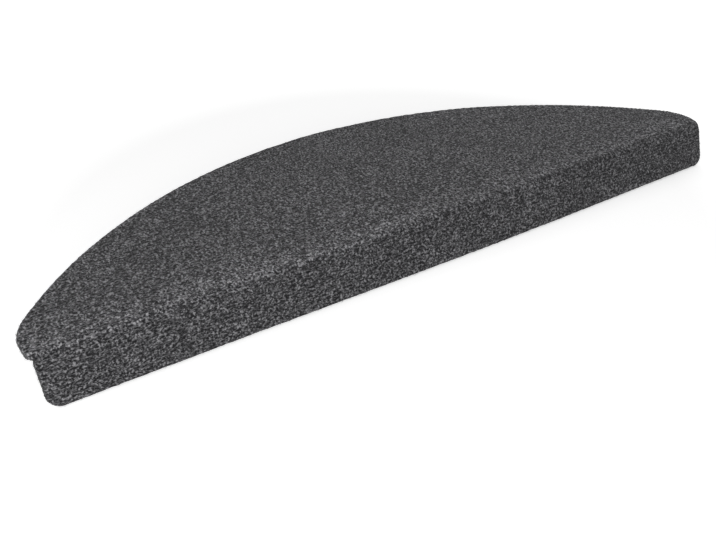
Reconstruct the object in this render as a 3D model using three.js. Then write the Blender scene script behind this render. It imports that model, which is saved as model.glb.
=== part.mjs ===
// Half-round stair tread mat: one sheet of thick ribbed needle felt, cut out flat and
// folded down along its straight front edge, so that it hooks over the edge of a step.
// Millimetres. +X runs along the step, +Y to its back and +Z up. The origin is on the
// underside of the tread, halfway along it and halfway back.

import * as THREE from 'three';

// The flat tread
const matLength = 650; // over both round ends
const treadDepth = 206; // from the line of the nose to the middle of the round back
const endRadius = 46; // the round ends
const widestSetBack = 20; // the mat is at its longest this far behind the nose line
const thickness = 5;

// The folded lip
const lipDrop = 40; // from the tread's face to the lip's lowest edge
const lipInset = 4.5; // the lip stops short of each end of the mat by this much
const lipCornerRadius = 10; // the lip's two free corners
const foldInnerRadius = 1.5;
const foldAngle = THREE.MathUtils.degToRad(75); // under a right angle, as felt springs open

// The face
const edgeRadius = 1.5; // the face rounds over to the cut edge
const ribPitch = 3.1; // ribs run along the mat
const ribDepth = 0.4;

// Fineness of the surface
const edgeSteps = 3; // across the rounded edge
const cornerSteps = 8; // round a lip corner
const foldSteps = 10; // round the fold
const apexSteps = 10; // along the flattest stretch of the back, either side of its middle
const apexSpread = THREE.MathUtils.degToRad(10);
const closestLines = 0.1; // lines across the mat are never nearer than this

// Distances v are measured along the face, from the nose line towards the back: over the
// flat tread v is simply the distance back, and it goes on round the fold and down the lip.
const foldRadius = foldInnerRadius + thickness;
const lipFlat = (lipDrop - foldRadius + foldInnerRadius * Math.cos(foldAngle)) / Math.sin(foldAngle);
const foldEndV = foldRadius - foldRadius * foldAngle;
const footV = foldEndV - lipFlat;

const halfLip = matLength / 2 - lipInset;
const endCentreX = matLength / 2 - endRadius;
const endToBack = treadDepth - widestSetBack;

// One arc makes the whole back: it passes through the back's middle and runs into both
// end circles without a corner.
const backRadius = (endCentreX ** 2 + endToBack ** 2 - endRadius ** 2) / (2 * (endToBack - endRadius));
const backCentreV = treadDepth - backRadius;
const tangentRise = (widestSetBack - backCentreV) / (backRadius - endRadius);

// The face is the outline drawn in by the edge radius, so its arcs have these radii.
const faceCornerRadius = lipCornerRadius - edgeRadius;
const faceEndRadius = endRadius - edgeRadius;
const faceBackRadius = backRadius - edgeRadius;

const cornerCentreV = footV + lipCornerRadius;
const notchV = notchDistance(faceEndRadius, halfLip - edgeRadius);
const tangentV = widestSetBack + faceEndRadius * tangentRise;

// Where an end circle of this radius comes down to a lip edge at x, which makes the notch.
function notchDistance(circleRadius, x) {
  return widestSetBack - Math.sqrt(circleRadius ** 2 - (x - endCentreX) ** 2);
}

// A point of an arc whose face radius is given, at the height v, with the way out of it.
function onArc(centreX, centreV, radius, v) {
  const rise = THREE.MathUtils.clamp((v - centreV) / radius, -1, 1);
  const run = Math.sqrt(1 - rise ** 2);
  return { x: centreX + radius * run, v, outX: run, outV: rise };
}

// The right-hand end of the line across the face at v.
function faceEnd(v) {
  if (v === notchV) {
    const outerNotchV = notchDistance(endRadius, halfLip);
    return { x: halfLip - edgeRadius, v, outX: 1, outV: (outerNotchV - notchV) / edgeRadius };
  }
  if (v < cornerCentreV) {
    return onArc(halfLip - lipCornerRadius, cornerCentreV, faceCornerRadius, v);
  }
  if (v < notchV) {
    return { x: halfLip - edgeRadius, v, outX: 1, outV: 0 };
  }
  if (v < tangentV) {
    return onArc(endCentreX, widestSetBack, faceEndRadius, v);
  }
  return onArc(0, backCentreV, faceBackRadius, v);
}

// Every line across the mat, from the lip's foot to the back: those that the outline and
// the fold need, then a crest and a groove line for each rib.
function linesAcross() {
  const wanted = [notchV, tangentV];
  for (let step = 0; step <= cornerSteps; step += 1) {
    const turn = (Math.PI / 2) * (step / cornerSteps);
    wanted.push(cornerCentreV - faceCornerRadius * Math.cos(turn));
  }
  for (let step = 0; step <= apexSteps; step += 1) {
    const turn = apexSpread * (step / apexSteps);
    wanted.push(backCentreV + faceBackRadius * Math.cos(turn));
  }
  for (let step = 0; step <= foldSteps; step += 1) {
    wanted.push(THREE.MathUtils.lerp(foldRadius, foldEndV, step / foldSteps));
  }
  const firstV = footV + edgeRadius;
  const lastV = treadDepth - edgeRadius;
  const halfPitch = ribPitch / 2;
  for (let count = Math.ceil(firstV / halfPitch); count * halfPitch < lastV; count += 1) {
    wanted.push(count * halfPitch);
  }
  const lines = [];
  for (const v of wanted) {
    if (lines.every((line) => Math.abs(line - v) > closestLines)) {
      lines.push(v);
    }
  }
  return lines.sort((a, b) => a - b);
}

// Ribs have straight flanks: crests lie at whole pitches and grooves halfway between.
function grooveAt(v) {
  const pitches = v / ribPitch;
  return 2 * ribDepth * Math.abs(pitches - Math.round(pitches));
}

// Takes a point of the flat sheet, at a depth below its face, to its place on the folded mat.
function folded(x, v, depth) {
  const turn = THREE.MathUtils.clamp((foldRadius - v) / foldRadius, 0, foldAngle);
  const radius = foldRadius - depth;
  const beyondFold = Math.max(0, foldEndV - v);
  const onTread = Math.max(0, v - foldRadius);
  const y = foldRadius + onTread - radius * Math.sin(turn) - beyondFold * Math.cos(turn);
  const z = -foldRadius + radius * Math.cos(turn) - beyondFold * Math.sin(turn);
  return [x, y - treadDepth / 2, z + thickness];
}

// The section of one cut edge, from its bottom corner up to the face: [way out, depth].
function edgeSection(groove) {
  const section = [[edgeRadius, thickness]];
  for (let step = edgeSteps; step >= 0; step -= 1) {
    const turn = (Math.PI / 2) * (step / edgeSteps);
    section.push([
      edgeRadius * Math.sin(turn),
      groove + (edgeRadius - groove) * (1 - Math.cos(turn)),
    ]);
  }
  return section;
}

function makeMatGeometry() {
  const lines = linesAcross();
  const sectionSize = edgeSteps + 2;
  const last = lines.length - 1;
  const top = sectionSize - 1;
  const positions = [];
  const indices = [];

  // Right-hand sections come first and left-hand ones after them. The last line has
  // shrunk to the middle of the back, where both hands share one section.
  for (const hand of [1, -1]) {
    for (let line = 0; line <= (hand === 1 ? last : last - 1); line += 1) {
      const end = faceEnd(lines[line]);
      const middleOfBack = line === last;
      for (const [out, depth] of edgeSection(grooveAt(end.v))) {
        const x = middleOfBack ? 0 : hand * (end.x + out * end.outX);
        positions.push(...folded(x, end.v + out * end.outV, depth));
      }
    }
  }
  const right = (line, level) => line * sectionSize + level;
  const left = (line, level) => (line === last ? right(line, level) : (last + 1 + line) * sectionSize + level);

  const addFace = (a, b, c, d) => {
    if (a !== b && b !== c && a !== c) {
      indices.push(a, b, c);
    }
    if (a !== c && c !== d && a !== d) {
      indices.push(a, c, d);
    }
  };

  for (let line = 0; line < last; line += 1) {
    const next = line + 1;
    addFace(right(line, top), right(next, top), left(next, top), left(line, top));
    addFace(right(line, 0), left(line, 0), left(next, 0), right(next, 0));
    for (let level = 0; level < top; level += 1) {
      addFace(right(line, level), right(next, level), right(next, level + 1), right(line, level + 1));
      addFace(left(line, level), left(line, level + 1), left(next, level + 1), left(next, level));
    }
  }
  for (let level = 0; level < top; level += 1) {
    addFace(left(0, level), right(0, level), right(0, level + 1), left(0, level + 1));
  }

  const geometry = new THREE.BufferGeometry();
  geometry.setAttribute('position', new THREE.Float32BufferAttribute(positions, 3));
  geometry.setIndex(indices);
  geometry.computeVertexNormals();
  return geometry;
}

function makeTreadMat() {
  const greyFelt = new THREE.MeshStandardMaterial({ color: 0x4d4d4f, roughness: 0.95, metalness: 0 });
  const mat = new THREE.Mesh(makeMatGeometry(), greyFelt);
  mat.name = 'tread_mat';
  return mat;
}

const stairMat = new THREE.Group();
stairMat.name = 'stair_tread_mat';
stairMat.add(makeTreadMat());

export default stairMat;
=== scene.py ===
# Half-round stair tread mat: mottled grey needle felt with a lip folded over the step's edge.
from math import cos, pi, radians, sin, sqrt

import bmesh
import bpy
import numpy as np
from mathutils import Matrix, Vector


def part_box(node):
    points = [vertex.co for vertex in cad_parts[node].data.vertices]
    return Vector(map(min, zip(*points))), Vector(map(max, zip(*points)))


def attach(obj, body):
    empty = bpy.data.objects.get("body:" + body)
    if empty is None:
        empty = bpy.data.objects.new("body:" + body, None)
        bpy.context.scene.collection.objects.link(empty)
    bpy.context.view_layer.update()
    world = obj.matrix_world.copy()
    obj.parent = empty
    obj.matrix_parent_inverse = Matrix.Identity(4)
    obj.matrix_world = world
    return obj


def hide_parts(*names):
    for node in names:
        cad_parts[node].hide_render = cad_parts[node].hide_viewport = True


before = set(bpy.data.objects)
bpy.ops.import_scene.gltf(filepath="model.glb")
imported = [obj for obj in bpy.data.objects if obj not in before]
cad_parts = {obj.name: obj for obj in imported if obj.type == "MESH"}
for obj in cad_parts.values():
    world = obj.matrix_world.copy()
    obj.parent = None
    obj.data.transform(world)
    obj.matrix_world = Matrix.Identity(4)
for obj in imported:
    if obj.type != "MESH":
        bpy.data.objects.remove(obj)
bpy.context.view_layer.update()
matLow, matHigh = (np.array(corner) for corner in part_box("tread_mat"))
print("frame loaded")


# The cut sheet and its fold. Distances v are measured along the face, from the nose line towards
# the back: over the flat tread v is the distance back, and it goes on round the fold and down the
# lip, where it is below nought.

mat = {
    "endRadius": 0.046,  # the round ends
    "widestSetBack": 0.020,  # the mat is longest this far behind the nose line
    "lipInset": 0.0045,  # the lip stops short of each end by this much
    "lipCornerRadius": 0.010,
    "foldInnerRadius": 0.0015,
    "foldAngle": radians(75),
    "edgeRadius": 0.0015,  # the face rounds over to the cut edge
    "ribPitch": 0.0031,
    "ribDepth": 0.0004,
}
mat["length"] = matHigh[0] - matLow[0]
mat["treadDepth"] = 2 * matHigh[1]  # nose line to the middle of the round back
mat["lipDrop"] = matHigh[2] - matLow[2]
mat["thickness"] = matHigh[2]
mat["foldRadius"] = mat["foldInnerRadius"] + mat["thickness"]

# How the felt has settled and how even it is
settled = {
    "softRadius": 0.0100,  # the fold opens out to this at the right end
    "softFrom": -0.12,  # x where it starts to open
    "softTo": 0.30,
    "softMerge": 0.060,  # v where the tread lies as cut again
    "lipBow": 0.0035,  # the lip's foot stands out by this in its middle
    "bowCentre": 0.075,
    "bowHalfWidth": 0.21,
    "bowPower": 1.5,  # how late the bow grows on its way down the lip
    "noseSag": 0.0007,  # the tread dips by this towards the nose
    "sagLength": 0.030,
    "swell": 0.0005,  # slow unevenness of the face
    "swellCell": 0.055,
    "tuftHeight": 0.00022,  # how far single tufts stand out or sink in
    "tuftCell": 0.0022,
    "ribWander": 0.10,  # of a pitch
    "ribWanderCell": 0.020,
    "faceSink": 0.0003,  # keeps the highest tufts near the cut size
    "ragged": 0.00045,  # how far the cut edge strays
    "raggedCell": 0.0026,
    "raggedSlant": 3,  # the straying changes about this much faster down the edge than along it
    "latticeSize": 257,  # cells before the noise repeats
}

# Each random draw starts from its own seed
seeds = {"ribWander": 3, "tufts": 5, "smallTufts": 6, "swell": 7, "ragged": 8, "fibres": 21}

fineness = {
    "linesPerRib": 4,  # lines of the mesh that run along the mat
    "columns": 232,  # cells across the face
    "underEvery": 8,  # the underside has one cell for so many of the face's
    "edgeSteps": 3,  # round the face's rounded edge
    "sideSteps": 3,  # down the cut edge
    "cornerLines": 9,  # extra lines at the lip's corners
    "backLines": 14,  # extra lines where the outline closes at the back
    "backSpread": radians(7),
    "closestPart": 50,  # lines nearer than this part of a step are dropped
    "joinWithin": 1e-6,
}


# Random heights from -1 to 1 on a square lattice, joined by smooth steps in x and in v.
def latticeNoise(x, v, cell, seed):
    size = settled["latticeSize"]
    heights = np.random.default_rng(seed).uniform(-1, 1, (size, size))
    across, along = x / cell, v / cell
    i, j = np.floor(across).astype(int), np.floor(along).astype(int)
    a, b = across - i, along - j
    a, b = a * a * (3 - 2 * a), b * b * (3 - 2 * b)
    near = heights[i % size, j % size] * (1 - a) + heights[(i + 1) % size, j % size] * a
    far = heights[i % size, (j + 1) % size] * (1 - a) + heights[(i + 1) % size, (j + 1) % size] * a
    return near * (1 - b) + far * b


# Nought below start, one above end, and a smooth step between them.
def smoothStep(value, start, end):
    t = np.clip((value - start) / (end - start), 0, 1)
    return t * t * (3 - 2 * t)


# For a fold of this outer radius: v where the fold ends and the lip starts, and the length of the
# lip's straight stretch, which brings its lowest edge to the full drop.
def lipBelowFold(radius):
    foldEnd = radius * (1 - mat["foldAngle"])
    innerRadius = radius - mat["thickness"]
    drop = mat["lipDrop"] - radius + innerRadius * cos(mat["foldAngle"])
    return foldEnd, drop / sin(mat["foldAngle"])


# The outline's circles and the v where each hands over to the next. The back is one arc through its
# middle that runs into both end circles, so its radius follows from the three distances. Inset is
# how far the line runs inside the cut edge.
def outlineOf(inset):
    m = mat
    foldEnd, lipFlat = lipBelowFold(m["foldRadius"])
    outline = {"foot": foldEnd - lipFlat}
    outline["halfLip"] = m["length"] / 2 - m["lipInset"]
    outline["cornerX"] = outline["halfLip"] - m["lipCornerRadius"]
    outline["cornerV"] = outline["foot"] + m["lipCornerRadius"]
    outline["endX"] = m["length"] / 2 - m["endRadius"]
    endToBack = m["treadDepth"] - m["widestSetBack"]
    outline["backRadius"] = (outline["endX"] ** 2 + endToBack**2 - m["endRadius"] ** 2) / (
        2 * (endToBack - m["endRadius"])
    )
    outline["backV"] = m["treadDepth"] - outline["backRadius"]
    rise = (m["widestSetBack"] - outline["backV"]) / (outline["backRadius"] - m["endRadius"])
    outline["tangentV"] = m["widestSetBack"] + (m["endRadius"] - inset) * rise
    reach = outline["halfLip"] - inset - outline["endX"]
    outline["notchV"] = m["widestSetBack"] - sqrt((m["endRadius"] - inset) ** 2 - reach**2)
    return outline


cut = outlineOf(0)
faceLine = outlineOf(mat["edgeRadius"])  # where the face starts to round over


# Half width of the face at v, and the way out of its edge there, along x and along v. The lip's
# corner, the lip's side, the end circle and the back's arc follow one another up the mat.
def faceEdge(v):
    inset = mat["edgeRadius"]

    def arc(centreX, centreV, radius):
        up = np.clip((v - centreV) / radius, -1, 1)
        run = np.sqrt(1 - up**2)
        return centreX + radius * run, run, up

    corner = arc(faceLine["cornerX"], faceLine["cornerV"], mat["lipCornerRadius"] - inset)
    side = (np.full_like(v, faceLine["halfLip"] - inset), np.ones_like(v), np.zeros_like(v))
    end = arc(faceLine["endX"], mat["widestSetBack"], mat["endRadius"] - inset)
    back = arc(0, faceLine["backV"], faceLine["backRadius"] - inset)
    where = [v < faceLine["cornerV"], v < faceLine["notchV"], v < faceLine["tangentV"]]
    width, outX, outV = (np.select(where, [corner[k], side[k], end[k]], back[k]) for k in range(3))
    atNotch = v == faceLine["notchV"]
    outX = np.where(atNotch, 1, outX)
    outV = np.where(atNotch, (cut["notchV"] - faceLine["notchV"]) / inset, outV)
    return width, outX, outV


# How far the fold has opened out at x: nought on the left, one at the right end.
def softness(x):
    return smoothStep(x, settled["softFrom"], settled["softTo"])


# The fold's outer radius at x, and the distance along the face once it has settled. The arc widens
# to the right, and the stretches of tread and lip beside it give up what it needs.
def settledFace(x, v):
    tight, merge = mat["foldRadius"], settled["softMerge"]
    tightEnd, tightFlat = lipBelowFold(tight)
    radius = tight + (settled["softRadius"] - tight) * softness(x)
    foldEnd, flat = lipBelowFold(radius)
    onLip = foldEnd - (tightEnd - v) * flat / tightFlat
    onFold = foldEnd + (v - tightEnd) * (radius - foldEnd) / (tight - tightEnd)
    onTread = radius + (v - tight) * (merge - radius) / (merge - tight)
    return radius, np.select([v < tightEnd, v < tight, v < merge], [onLip, onFold, onTread], v)


# Place of a point of the flat sheet: straight back over the tread, round an arc at the nose, then
# straight down the leaning lip, with depth measured square to the face. The nose sags as the square
# of its nearness, and the lip bows out to its foot as a bell along x.
def foldSheet(x, v, depth):
    m, s = mat, settled
    radius, w = settledFace(x, v)
    foldEnd, flat = lipBelowFold(radius)
    turn = np.clip((radius - w) / radius, 0, m["foldAngle"])
    beyond = np.maximum(0, foldEnd - w)
    over = np.maximum(0, w - radius)
    bell = np.exp(-(((x - s["bowCentre"]) / s["bowHalfWidth"]) ** 2))
    bow = s["lipBow"] * bell * (beyond / flat) ** s["bowPower"]
    sag = s["noseSag"] * (1 - np.clip(w / s["sagLength"], 0, 1)) ** 2
    y = radius + over - (radius - depth) * np.sin(turn) - beyond * cos(m["foldAngle"]) - bow
    z = (radius - depth) * np.cos(turn) - beyond * sin(m["foldAngle"]) - radius - sag
    return np.stack([x, y - m["treadDepth"] / 2, z + m["thickness"]], axis=-1)


# Depth of the face: ribs as a cosine of v that strays a little, single tufts, and a slow swell.
def relief(x, v):
    s = settled
    wander = s["ribWander"] * latticeNoise(x, v, s["ribWanderCell"], seeds["ribWander"])
    ribs = mat["ribDepth"] * (0.5 - 0.5 * np.cos(2 * pi * (v / mat["ribPitch"] + wander)))
    largeTufts = latticeNoise(x, v, s["tuftCell"], seeds["tufts"])
    smallTufts = latticeNoise(x, v, s["tuftCell"] / 2, seeds["smallTufts"])
    tufts = s["tuftHeight"] * (largeTufts + smallTufts)
    swell = s["swell"] * latticeNoise(x, v, s["swellCell"], seeds["swell"])
    return ribs + tufts + swell + s["faceSink"]


# How far the cut edge strays from its line, by the place along it and the depth down it.
def raggedEdge(x, v, depth):
    s = settled
    down = v + s["raggedSlant"] * depth
    return s["ragged"] * latticeNoise(x + depth, down, s["raggedCell"], seeds["ragged"])


# Lines along the mat: even steps of v, and more where the outline turns fast. The line nearest the
# notch beside the lip is moved into it.
def meshLines():
    first = cut["foot"] + mat["edgeRadius"]
    last = mat["treadDepth"] - mat["edgeRadius"]
    step = mat["ribPitch"] / fineness["linesPerRib"]
    even = np.linspace(first, last, round((last - first) / step))
    quarter = np.linspace(0, pi / 2, fineness["cornerLines"])
    corner = first + (mat["lipCornerRadius"] - mat["edgeRadius"]) * (1 - np.cos(quarter))
    spread = np.linspace(0, fineness["backSpread"], fineness["backLines"])
    back = faceLine["backV"] + (faceLine["backRadius"] - mat["edgeRadius"]) * np.cos(spread)
    lines = np.sort(np.concatenate([even, corner, back]))
    lines = lines[np.append(True, np.diff(lines) > step / fineness["closestPart"])]
    lines[np.argmin(np.abs(lines - faceLine["notchV"]))] = faceLine["notchV"]
    lines[0], lines[-1] = first, last
    return lines


# The sheet as one grid of rows and columns. The outermost ones are the cut edge's section, a quarter
# round and then straight down, and the underside is a coarser grid between its bottom corners. Level
# nought is the face, and each level above it is one step out and down the section.
def makeFeltMesh():
    m, f = mat, fineness
    lines = meshLines()
    quarter = np.linspace(0, pi / 2, f["edgeSteps"] + 1)
    sideDepths = np.linspace(m["edgeRadius"], m["thickness"], f["sideSteps"] + 1)[1:]
    sectionOut = m["edgeRadius"] * np.append(np.sin(quarter), np.ones(f["sideSteps"]))
    sectionDown = np.append(m["edgeRadius"] * (1 - np.cos(quarter)), sideDepths)
    faceShare = np.append(np.cos(quarter), np.zeros(f["sideSteps"]))  # how much relief is left
    levels = f["edgeSteps"] + f["sideSteps"]

    span = np.linspace(-1, 1, f["columns"] + 1)
    outwards = np.arange(1, levels + 1)
    columnSide = np.concatenate([np.full(levels, -1.0), span, np.full(levels, 1.0)])[None, :]
    columnLevel = np.concatenate([outwards[::-1], np.zeros(len(span), int), outwards])[None, :]
    rowV = np.append(np.full(levels, lines[0]), lines)
    rowLevel = np.append(outwards[::-1], np.zeros(len(lines), int))[:, None]
    level = np.maximum(rowLevel, columnLevel)
    width, outX, outV = (part[:, None] for part in faceEdge(rowV))
    wayX = np.where(columnLevel > 0, columnSide * outX, 0.0)
    wayV = np.where(columnLevel > 0, outV, np.where(rowLevel > 0, -1.0, 0.0))
    x = columnSide * width + wayX * sectionOut[level]
    v = rowV[:, None] + wayV * sectionOut[level]
    ragged = raggedEdge(x, v, sectionDown[level]) * (1 - faceShare[level])
    x, v = x + wayX * ragged, v + wayV * ragged
    depth = sectionDown[level] + relief(x, v) * faceShare[level]

    underSpan = span[None, :: f["underEvery"]]
    underWidth, underOutX, underOutV, underRow = (
        part[levels:] for part in (width, outX, outV, rowV[:, None])
    )
    underX = underSpan * (underWidth + underOutX * m["edgeRadius"])
    underV = np.repeat(underRow + underOutV * m["edgeRadius"], underSpan.size, axis=1)
    atEnd = np.abs(underSpan) == 1
    ragged = np.where(atEnd, raggedEdge(underX, underV, m["thickness"]), 0)
    underX, underV = underX + underSpan * underOutX * ragged, underV + underOutV * ragged

    rows, columns = x.shape
    grid = np.arange(rows * columns).reshape(rows, columns)
    under = rows * columns + np.arange(underX.size).reshape(underX.shape)
    face = np.stack([grid[:-1, :-1], grid[:-1, 1:], grid[1:, 1:], grid[1:, :-1]], -1).reshape(-1, 4)
    back = np.stack([under[1:-1, :-1], under[2:, :-1], under[2:, 1:], under[1:-1, 1:]], -1)
    back = back.reshape(-1, 4)
    # The underside's first strip meets the foot, where the face's columns are finer.
    footLine = grid[0, levels : levels + len(span)]
    every = f["underEvery"]
    strip = [
        [under[1, k], under[1, k + 1]] + footLine[every * k : every * (k + 1) + 1][::-1].tolist()
        for k in range(underSpan.size - 1)
    ]
    flat = np.concatenate([
        np.stack([x, v, depth], -1).reshape(-1, 3),
        np.stack([underX, underV, np.full(underX.shape, m["thickness"])], -1).reshape(-1, 3),
    ])
    cutShare = np.append(1 - faceShare[level], np.zeros(underX.size))
    onUnderside = [0] * len(face) + [1] * (len(back) + len(strip))
    return flat, cutShare, face.tolist() + back.tolist() + strip, onUnderside


# Joins points that lie on each other, which closes the corners and the middle of the back.
def joinDoubles(mesh):
    work = bmesh.new()
    work.from_mesh(mesh)
    bmesh.ops.remove_doubles(work, verts=work.verts, dist=fineness["joinWithin"])
    work.to_mesh(mesh)
    work.free()


# The felt's finish

felt = {
    "black": (0.008, 0.008, 0.009, 1),
    "charcoal": (0.023, 0.0226, 0.0246, 1),
    "grey": (0.056, 0.0552, 0.0585, 1),
    "light": (0.300, 0.298, 0.310, 1),
    "shadePlaces": (0.38, 0.46, 0.57, 0.71),  # of the four shades, along the speckle
    "speckleScale": 600,
    "tuftScale": 950,
    "tuftShare": 0.20,  # how far each tuft's own shade departs from the speckle's
    "fibreScale": 300,
    "fibreTurns": (28, -41, 84),  # one layer of fibres each, from another part of the noise
    "fibreStretch": 5,  # fibres are this much longer along the mat
    "fibreRange": (0.60, 0.74),  # of the noise, from no fibre to a full one
    "fibreCover": 0.6,
    "fibreHeight": 0.5,  # above the speckle, in the bump
    "lieBack": 0.68,  # tufts on the tread are longer from front to back
    "groovePaintedShade": 0.42,  # painted shade in the grooves between the ribs
    "rowDepth": 0.5,  # in the bump
    "rowStray": 0.5,  # of a pitch, over the noise's whole range
    "rowStrayScale": 90,
    "rowPatchScale": 260,  # the rows' painted shade and depth come and go in patches
    "rowPatchSqueeze": (0.6, 1, 1),  # longer along the mat
    "rowPatchRange": (0.38, 0.58),
    "rowPatchLeast": 0.25,
    "rowsOnTread": 0.35,  # of what they show on the lip
    "rowsFadeLength": 0.012,
    "cloudScale": 14,
    "cloudDetail": 3.0,
    "cloudRange": (0.3, 0.7),
    "cloudiness": 0.10,
    "paintedHighlightLeft": 0.46,  # painted highlight behind the nose: lighter by this
    "paintedHighlightRight": 0.34,
    "paintedHighlightLength": 0.022,
    "highlightLineLeft": 0.0014,  # v where the painted highlight starts
    "highlightLineRight": 0.0095,
    "highlightLineBlur": 0.0012,
    "foldPaintedShade": 0.12,  # painted shade just in front of that line: darker by this
    "foldPaintedShadeLength": 0.009,
    "cutShade": 0.30,  # the cut edge is darker by this
    "roughness": 0.92,
    "specular": 0.2,
    "sheen": 0.10,
    "sheenRoughness": 0.5,
    "bumpDepth": 0.0008,
    "bumpStrength": 0.8,
}


# A shader node of this kind with these settings.
def node(tree, kind, **settings):
    made = tree.nodes.new(kind)
    for name, value in settings.items():
        setattr(made, name, value)
    return made


# A Math node that works on the given sockets or numbers, in order.
def maths(tree, operation, *values):
    made = node(tree, "ShaderNodeMath", operation=operation)
    for socket, value in zip(made.inputs, values):
        if isinstance(value, (int, float)):
            socket.default_value = value
        else:
            tree.links.new(value, socket)
    return made.outputs[0]


# Noise over the flat sheet, squeezed by a scale for each direction. The turn comes after that, in
# degrees, so it leaves the squeeze as it is and brings up another part of the noise.
def sheetNoise(tree, place, scale, detail, squeeze=(1, 1, 1), turn=0):
    lay = node(tree, "ShaderNodeMapping")
    lay.inputs["Rotation"].default_value = (0, 0, radians(turn))
    lay.inputs["Scale"].default_value = squeeze
    tree.links.new(place, lay.inputs["Vector"])
    noise = node(tree, "ShaderNodeTexNoise")
    noise.inputs["Scale"].default_value = scale
    noise.inputs["Detail"].default_value = detail
    tree.links.new(lay.outputs["Vector"], noise.inputs["Vector"])
    return noise.outputs["Fac"]


# Takes a value from one range to another and holds it there.
def ranged(tree, value, fromMin, fromMax, toMin, toMax):
    made = node(tree, "ShaderNodeMapRange")
    made.inputs["From Min"].default_value = fromMin
    made.inputs["From Max"].default_value = fromMax
    made.inputs["To Min"].default_value = toMin
    made.inputs["To Max"].default_value = toMax
    tree.links.new(value, made.inputs["Value"])
    return made.outputs["Result"]


# Mottled felt: fine noise and each tuft's own shade pick between four shades of fibre, stretched
# noise lays light fibres over them in layers, painted shade darkens the rows between the ribs, the
# lightness attribute adds a painted highlight behind the nose, painted shade in front of it and a
# darker cut edge, and slow noise clouds the whole. Everything is worked out on the flat sheet, so the
# pattern follows the fold.
def feltMaterial(name, rows):
    material = bpy.data.materials.new(name)
    material.use_nodes = True
    tree = material.node_tree
    tree.nodes.clear()
    place = node(tree, "ShaderNodeAttribute", attribute_name="flat_place").outputs["Vector"]

    speckle = sheetNoise(tree, place, felt["speckleScale"], 1.0)
    tufts = node(tree, "ShaderNodeTexVoronoi")
    tufts.inputs["Scale"].default_value = felt["tuftScale"]
    tree.links.new(place, tufts.inputs["Vector"])
    ownShade = node(tree, "ShaderNodeSeparateColor")
    tree.links.new(tufts.outputs["Color"], ownShade.inputs[0])
    share = felt["tuftShare"]
    own = maths(tree, "MULTIPLY_ADD", ownShade.outputs[0], share, -share / 2)
    height = maths(tree, "ADD", speckle, own)
    shades = node(tree, "ShaderNodeValToRGB")
    ramp = shades.color_ramp.elements
    ramp[0].position, ramp[0].color = felt["shadePlaces"][0], felt["black"]
    ramp[1].position, ramp[1].color = felt["shadePlaces"][3], felt["light"]
    ramp.new(felt["shadePlaces"][1]).color = felt["charcoal"]
    ramp.new(felt["shadePlaces"][2]).color = felt["grey"]
    tree.links.new(height, shades.inputs["Fac"])
    colour = shades.outputs["Color"]

    for turn in felt["fibreTurns"]:
        stretch = felt["fibreStretch"]
        fibres = sheetNoise(tree, place, felt["fibreScale"], 1.0, (1, stretch, stretch), turn)
        chosen = ranged(tree, fibres, *felt["fibreRange"], 0, felt["fibreCover"])
        over = node(tree, "ShaderNodeMix", data_type="RGBA")
        over.inputs["B"].default_value = felt["light"]
        tree.links.new(chosen, over.inputs["Factor"])
        tree.links.new(colour, over.inputs["A"])
        colour = over.outputs["Result"]
        height = maths(tree, "MULTIPLY_ADD", chosen, felt["fibreHeight"], height)

    cloud = sheetNoise(tree, place, felt["cloudScale"], felt["cloudDetail"])
    gain = ranged(tree, cloud, *felt["cloudRange"], 1 - felt["cloudiness"], 1 + felt["cloudiness"])
    if rows:
        ribs = node(tree, "ShaderNodeAttribute", attribute_name="rib_count").outputs["Fac"]
        shown = node(tree, "ShaderNodeAttribute", attribute_name="rows_shown").outputs["Fac"]
        stray = sheetNoise(tree, place, felt["rowStrayScale"], 1.0)
        strayed = maths(tree, "MULTIPLY_ADD", stray, felt["rowStray"], ribs)
        turns = maths(tree, "MULTIPLY", strayed, 2 * pi)
        groove = maths(tree, "MULTIPLY_ADD", maths(tree, "COSINE", turns), -0.5, 0.5)
        blots = sheetNoise(tree, place, felt["rowPatchScale"], 1.0, felt["rowPatchSqueeze"])
        patches = ranged(tree, blots, *felt["rowPatchRange"], felt["rowPatchLeast"], 1)
        # Painted shade in the grooves between the ribs, coming and going in patches; it also sinks the
        # bump there.
        dark = maths(tree, "MULTIPLY", maths(tree, "MULTIPLY", groove, patches), shown)
        darkened = maths(tree, "MULTIPLY_ADD", dark, -felt["groovePaintedShade"], 1)
        gain = maths(tree, "MULTIPLY", gain, darkened)
        height = maths(tree, "MULTIPLY_ADD", dark, -felt["rowDepth"], height)
        # Painted highlight behind the nose and painted shade in front of it, from the lightness
        # attribute, with a darker cut edge.
        lightness = node(tree, "ShaderNodeAttribute", attribute_name="lightness").outputs["Fac"]
        gain = maths(tree, "MULTIPLY", gain, lightness)
    toned = node(tree, "ShaderNodeVectorMath", operation="SCALE")
    tree.links.new(colour, toned.inputs["Vector"])
    tree.links.new(gain, toned.inputs["Scale"])

    bump = node(tree, "ShaderNodeBump")
    bump.inputs["Strength"].default_value = felt["bumpStrength"]
    bump.inputs["Distance"].default_value = felt["bumpDepth"]
    tree.links.new(height, bump.inputs["Height"])
    surface = node(tree, "ShaderNodeBsdfPrincipled")
    surface.inputs["Roughness"].default_value = felt["roughness"]
    surface.inputs["Specular IOR Level"].default_value = felt["specular"]
    surface.inputs["Sheen Weight"].default_value = felt["sheen"]
    surface.inputs["Sheen Roughness"].default_value = felt["sheenRoughness"]
    tree.links.new(toned.outputs["Vector"], surface.inputs["Base Color"])
    tree.links.new(bump.outputs["Normal"], surface.inputs["Normal"])
    result = node(tree, "ShaderNodeOutputMaterial")
    tree.links.new(surface.outputs["BSDF"], result.inputs["Surface"])
    return material


# Gives every point of the mesh its own value under this name.
def addPointValue(mesh, name, values):
    mesh.attributes.new(name, "FLOAT", "POINT").data.foreach_set("value", values.astype(np.float32))
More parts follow.
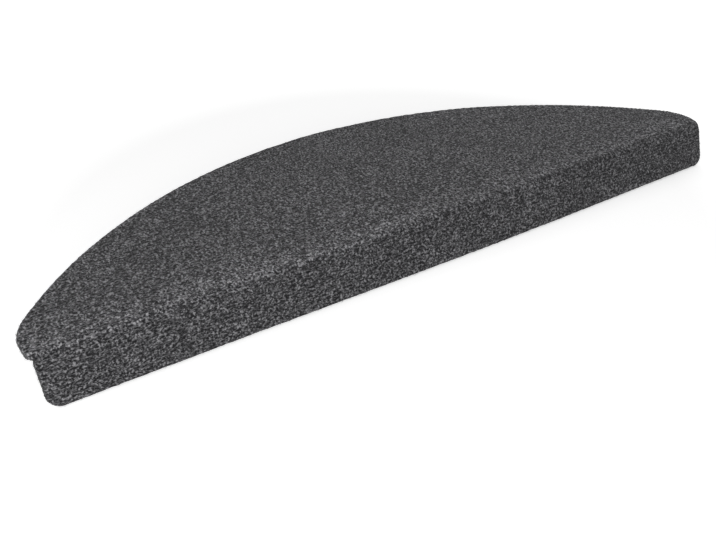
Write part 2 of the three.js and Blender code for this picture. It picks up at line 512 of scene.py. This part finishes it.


# Gives each point its place on the flat sheet, its count of ribs from the nose, how far rows show
# there, and how light it is: a painted highlight as a bell behind the highlight's line, painted shade
# as a narrower bell in front of it, and darker again on the cut edge.
def addFeltAttributes(mesh, flat, cutShare):
    x, v, depth = flat.T
    w = settledFace(x, v)[1]
    flatPlace = np.stack([x, np.where(w > 0, w * felt["lieBack"], w), depth], -1)
    places = mesh.attributes.new("flat_place", "FLOAT_VECTOR", "POINT")
    places.data.foreach_set("vector", flatPlace.ravel().astype(np.float32))
    addPointValue(mesh, "rib_count", v / mat["ribPitch"])
    rowsFade = smoothStep(w, 0, felt["rowsFadeLength"])
    addPointValue(mesh, "rows_shown", 1 - (1 - felt["rowsOnTread"]) * rowsFade)

    # A painted highlight behind the line where the nose turns down.
    line = felt["highlightLineLeft"] + (felt["highlightLineRight"] - felt["highlightLineLeft"]) * softness(x)
    behind = 0.5 + 0.5 * np.tanh((w - line) / felt["highlightLineBlur"])
    highlightStrength = felt["paintedHighlightLeft"] + (felt["paintedHighlightRight"] - felt["paintedHighlightLeft"]) * softness(x)
    light = highlightStrength * np.exp(-(((w - line) / felt["paintedHighlightLength"]) ** 2))
    # Painted shade just in front of the line, growing towards the right end.
    dark = felt["foldPaintedShade"] * softness(x) * np.exp(-(((w - line) / felt["foldPaintedShadeLength"]) ** 2))
    lightness = 1 + behind * light - (1 - behind) * dark - felt["cutShade"] * cutShare
    addPointValue(mesh, "lightness", lightness)


# The mat itself: the sheet's grid laid flat, then folded, with the face's felt in the first
# material slot and the underside's in the second.
def addFeltSheet():
    flat, cutShare, faces, onUnderside = makeFeltMesh()
    mesh = bpy.data.meshes.new("felt_sheet")
    mesh.from_pydata(foldSheet(*flat.T).tolist(), [], faces)
    mesh.polygons.foreach_set("material_index", onUnderside)
    addFeltAttributes(mesh, flat, cutShare)
    joinDoubles(mesh)
    mesh.polygons.foreach_set("use_smooth", [True] * len(mesh.polygons))
    mesh.materials.append(feltMaterial("mottled_felt", rows=True))
    mesh.materials.append(feltMaterial("felt_underside", rows=False))
    mesh.update()
    sheet = bpy.data.objects.new("felt_sheet", mesh)
    bpy.context.collection.objects.link(sheet)
    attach(sheet, "root")
    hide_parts("tread_mat")
    return sheet


# Loose fibres that stand off the felt

looseFibres = {
    "onFace": 2600,
    "onSides": 700,
    "onFoot": 260,
    "triesEach": 3,  # places drawn for each fibre on the face, as some fall outside it
    "outlineSteps": 2000,  # for the length along the outline
    "nearBack": 0.002,  # as many steps again over this last stretch, where it closes
    "thickness": 0.00018,
    "shortest": 0.0022,
    "longest": 0.0052,
    "standLeast": 0.0001,  # how far a fibre's middle stands off
    "standMost": 0.0006,
    "sideStandMost": 0.0010,
    "buried": 0.0005,  # how far its ends sink in
    "curl": 0.30,  # sideways bend, as a share of the length
    "ringShare": 0.2,  # of the length, from a fibre's middle to either ring
    "palest": (0.46, 0.455, 0.47, 1),
    "roughness": 0.75,
    "specular": 0.3,
}


# Roots of fibres in the flat sheet, each with the way out of the felt: over the face, on the sides
# by even steps along the outline, and along the foot.
def fibreRoots(random):
    f, m = looseFibres, mat
    first, last = cut["foot"] + m["edgeRadius"], m["treadDepth"] - m["edgeRadius"]
    tries = f["triesEach"] * f["onFace"]
    x = random.uniform(-m["length"] / 2, m["length"] / 2, tries)
    v = random.uniform(first, last, tries)
    inside = np.flatnonzero(np.abs(x) < faceEdge(v)[0] - f["longest"] / 2)[: f["onFace"]]
    x, v = x[inside], v[inside]
    face = np.stack([x, v, relief(x, v)], -1)
    faceOut = np.tile([0.0, 0.0, -1.0], (len(x), 1))

    steps, nearBack = f["outlineSteps"], last - f["nearBack"]
    outlineV = np.append(np.linspace(first, nearBack, steps), np.linspace(nearBack, last, steps)[1:])
    outlineX = faceEdge(outlineV)[0]
    run = np.append(0, np.cumsum(np.hypot(np.diff(outlineX), np.diff(outlineV))))
    v = np.interp(random.uniform(0, run[-1], f["onSides"]), run, outlineV)
    width, outX, outV = faceEdge(v)
    hand = random.choice([-1.0, 1.0], f["onSides"])
    sideOut = np.stack([hand * outX, outV, np.zeros_like(v)], -1)
    deepest = m["thickness"] - f["thickness"] * 2
    deep = random.uniform(m["edgeRadius"], deepest, f["onSides"])
    sides = np.stack([hand * (width + outX * m["edgeRadius"]), v + outV * m["edgeRadius"], deep], -1)

    reach = cut["cornerX"]
    x = random.uniform(-reach, reach, f["onFoot"])
    deep = random.uniform(m["edgeRadius"], deepest, f["onFoot"])
    foot = np.stack([x, np.full(len(x), cut["foot"]), deep], -1)
    footOut = np.tile([0.0, -1.0, 0.0], (len(x), 1))
    return np.concatenate([face, sides, foot]), np.concatenate([faceOut, sideOut, footOut]), len(face)


# Each fibre is a bent spindle of eight points: the first and the last are its buried ends, and two
# rings of three lie between them. It runs along the felt in a random direction, and its middle is
# pushed out and sideways. Squaring an even draw of tones leaves most fibres grey and few pale.
def makeFibreMesh():
    f = looseFibres
    random = np.random.default_rng(seeds["fibres"])
    root, out, faceCount = fibreRoots(random)
    count = len(root)
    level = np.where(np.abs(out[:, 2:]) > 0.5, [1.0, 0.0, 0.0], [0.0, 0.0, 1.0])
    cross = np.cross(out, level)
    angle = random.uniform(0, 2 * pi, count)[:, None]
    along = level * np.cos(angle) + cross * np.sin(angle)
    aside = np.cross(out, along)
    length = random.uniform(f["shortest"], f["longest"], count)[:, None]
    most = np.where(np.arange(count) < faceCount, f["standMost"], f["sideStandMost"])
    stand = random.uniform(f["standLeast"], most)[:, None]
    curl = random.uniform(-f["curl"], f["curl"], count)[:, None] * length
    half = f["thickness"] / 2

    points = np.empty((count, 8, 3))
    points[:, 0] = root - along * length / 2 - out * f["buried"]
    points[:, 7] = root + along * length / 2 - out * f["buried"]
    for ring, share in enumerate((-f["ringShare"], f["ringShare"])):
        middle = root + along * length * share + aside * curl + out * stand
        for corner in range(3):
            turn = 2 * pi * corner / 3
            points[:, 1 + 3 * ring + corner] = middle + half * (aside * cos(turn) + out * sin(turn))

    spindle = []
    for corner in range(3):
        following = (corner + 1) % 3
        spindle += [(0, 1 + following, 1 + corner), (7, 4 + corner, 4 + following)]
        spindle += [(1 + corner, 1 + following, 4 + following), (1 + corner, 4 + following, 4 + corner)]
    faces = (8 * np.arange(count)[:, None, None] + np.array(spindle)[None]).reshape(-1, 3)
    tone = np.repeat(random.uniform(0, 1, count) ** 2, 8)
    return points.reshape(-1, 3), faces.tolist(), tone


# Plain fibre, from the felt's grey to its palest by each fibre's own tone.
def fibreMaterial():
    material = bpy.data.materials.new("loose_fibre")
    material.use_nodes = True
    tree = material.node_tree
    tree.nodes.clear()
    tone = node(tree, "ShaderNodeAttribute", attribute_name="tone").outputs["Fac"]
    shade = node(tree, "ShaderNodeMix", data_type="RGBA")
    shade.inputs["A"].default_value = felt["grey"]
    shade.inputs["B"].default_value = looseFibres["palest"]
    tree.links.new(tone, shade.inputs["Factor"])
    surface = node(tree, "ShaderNodeBsdfPrincipled")
    surface.inputs["Roughness"].default_value = looseFibres["roughness"]
    surface.inputs["Specular IOR Level"].default_value = looseFibres["specular"]
    tree.links.new(shade.outputs["Result"], surface.inputs["Base Color"])
    result = node(tree, "ShaderNodeOutputMaterial")
    tree.links.new(surface.outputs["BSDF"], result.inputs["Surface"])
    return material


# The fibres as one mesh, folded with the sheet that they root in, with their faces turned outwards.
def addLooseFibres():
    flat, faces, tone = makeFibreMesh()
    mesh = bpy.data.meshes.new("loose_fibres")
    mesh.from_pydata(foldSheet(*flat.T).tolist(), [], faces)
    addPointValue(mesh, "tone", tone)
    work = bmesh.new()
    work.from_mesh(mesh)
    bmesh.ops.recalc_face_normals(work, faces=work.faces)
    work.to_mesh(mesh)
    work.free()
    mesh.polygons.foreach_set("use_smooth", [True] * len(mesh.polygons))
    mesh.materials.append(fibreMaterial())
    mesh.update()
    fibres = bpy.data.objects.new("loose_fibres", mesh)
    bpy.context.collection.objects.link(fibres)
    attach(fibres, "root")
    return fibres


feltSheet = addFeltSheet()
trianglesMade = sum(len(polygon.vertices) - 2 for polygon in feltSheet.data.polygons)
print("felt sheet made:", trianglesMade, "triangles")
fibrePiece = addLooseFibres()
print("loose fibres made:", len(fibrePiece.data.polygons), "triangles")


# Camera, lamps and floor

view = {
    "place": (-0.3422, -0.5508, 0.3177),  # left of the mat and in front of it
    "turn": (57.07, 1.92, -31.83),  # degrees
    "lens": 39.84,
    "filmWidth": 36,
}

lamps = {
    "key": {"place": (-0.72, -0.84, 0.50), "aim": (-0.05, -0.05, 0.0), "size": 0.7, "watts": 9.0},
    "behind": {"place": (0.85, 0.45, 1.15), "aim": (0.0, 0.0, 0.0), "size": 0.9, "watts": 4},
}

surround = {
    "ambient": 0.27,  # what the world lights the mat with
    "floorSize": 9.0,
    "floorColour": 0.86,
    "floorGap": 0.0003,  # under the lip's foot
    "nearReach": 0.30,  # from the mat's middle
    "nearLift": 0.47,  # added to the floor up to there, only where it is seen directly
    "farReach": 0.62,
    "farLift": 1.0,
}


# The view of the photograph.
def addCamera():
    data = bpy.data.cameras.new("photo_view")
    data.lens = view["lens"]
    data.sensor_width = view["filmWidth"]
    camera = bpy.data.objects.new("photo_view", data)
    camera.location = view["place"]
    camera.rotation_euler = [radians(angle) for angle in view["turn"]]
    bpy.context.collection.objects.link(camera)
    bpy.context.scene.camera = camera


# A round, soft lamp at its place, turned to its aim.
def addLamp(name, lamp):
    data = bpy.data.lights.new(name, "AREA")
    data.shape = "DISK"
    data.size = lamp["size"]
    data.energy = lamp["watts"]
    piece = bpy.data.objects.new(name, data)
    piece.location = lamp["place"]
    toAim = Vector(lamp["aim"]) - Vector(lamp["place"])
    piece.rotation_euler = toAim.to_track_quat("-Z", "Y").to_euler()
    bpy.context.collection.objects.link(piece)


# One where a ray comes from the camera, a reflection or a clear surface, else nought.
def seenDirectly(tree):
    rays = node(tree, "ShaderNodeLightPath").outputs
    seen = maths(tree, "MAXIMUM", rays["Is Camera Ray"], rays["Is Glossy Ray"])
    return maths(tree, "MAXIMUM", seen, rays["Is Transmission Ray"])


# Even light from all round, and plain white where the world itself is seen.
def addWorld():
    world = bpy.data.worlds.new("pale_room")
    world.use_nodes = True
    tree = world.node_tree
    tree.nodes.clear()
    ambient = node(tree, "ShaderNodeBackground")
    ambient.inputs["Color"].default_value = (1, 1, 1, 1)
    ambient.inputs["Strength"].default_value = surround["ambient"]
    white = node(tree, "ShaderNodeBackground")
    white.inputs["Color"].default_value = (1, 1, 1, 1)
    choice = node(tree, "ShaderNodeMixShader")
    result = node(tree, "ShaderNodeOutputWorld")
    tree.links.new(seenDirectly(tree), choice.inputs[0])
    tree.links.new(ambient.outputs[0], choice.inputs[1])
    tree.links.new(white.outputs[0], choice.inputs[2])
    tree.links.new(choice.outputs[0], result.inputs["Surface"])
    bpy.context.scene.world = world


# A matt floor. Where it is seen directly it is lifted to white, more so away from the mat, so the
# mat's shadow stays.
def floorMaterial():
    material = bpy.data.materials.new("pale_floor")
    material.use_nodes = True
    tree = material.node_tree
    tree.nodes.clear()
    level = surround["floorColour"]
    matt = node(tree, "ShaderNodeBsdfDiffuse")
    matt.inputs["Color"].default_value = (level, level, level, 1)
    away = node(tree, "ShaderNodeVectorMath", operation="LENGTH")
    tree.links.new(node(tree, "ShaderNodeTexCoord").outputs["Object"], away.inputs[0])
    reach = (surround["nearReach"], surround["farReach"])
    lifted = ranged(tree, away.outputs["Value"], *reach, surround["nearLift"], surround["farLift"])
    lift = node(tree, "ShaderNodeEmission")
    tree.links.new(maths(tree, "MULTIPLY", seenDirectly(tree), lifted), lift.inputs["Strength"])
    both = node(tree, "ShaderNodeAddShader")
    tree.links.new(matt.outputs[0], both.inputs[0])
    tree.links.new(lift.outputs[0], both.inputs[1])
    result = node(tree, "ShaderNodeOutputMaterial")
    tree.links.new(both.outputs[0], result.inputs["Surface"])
    return material


# One wide square just under the lowest point of this piece.
def addFloor(under):
    half = surround["floorSize"] / 2
    floorZ = min(corner[2] for corner in under.bound_box) - surround["floorGap"]
    square = ((-half, -half), (half, -half), (half, half), (-half, half))
    corners = [(x, y, floorZ) for x, y in square]
    mesh = bpy.data.meshes.new("floor")
    mesh.from_pydata(corners, [], [(0, 1, 2, 3)])
    mesh.materials.append(floorMaterial())
    floor = bpy.data.objects.new("floor", mesh)
    bpy.context.collection.objects.link(floor)


addCamera()
for lampName, lamp in lamps.items():
    addLamp(lampName, lamp)
addWorld()
addFloor(feltSheet)
bpy.context.scene.view_settings.view_transform = "Standard"
print("camera, lamps and floor placed")
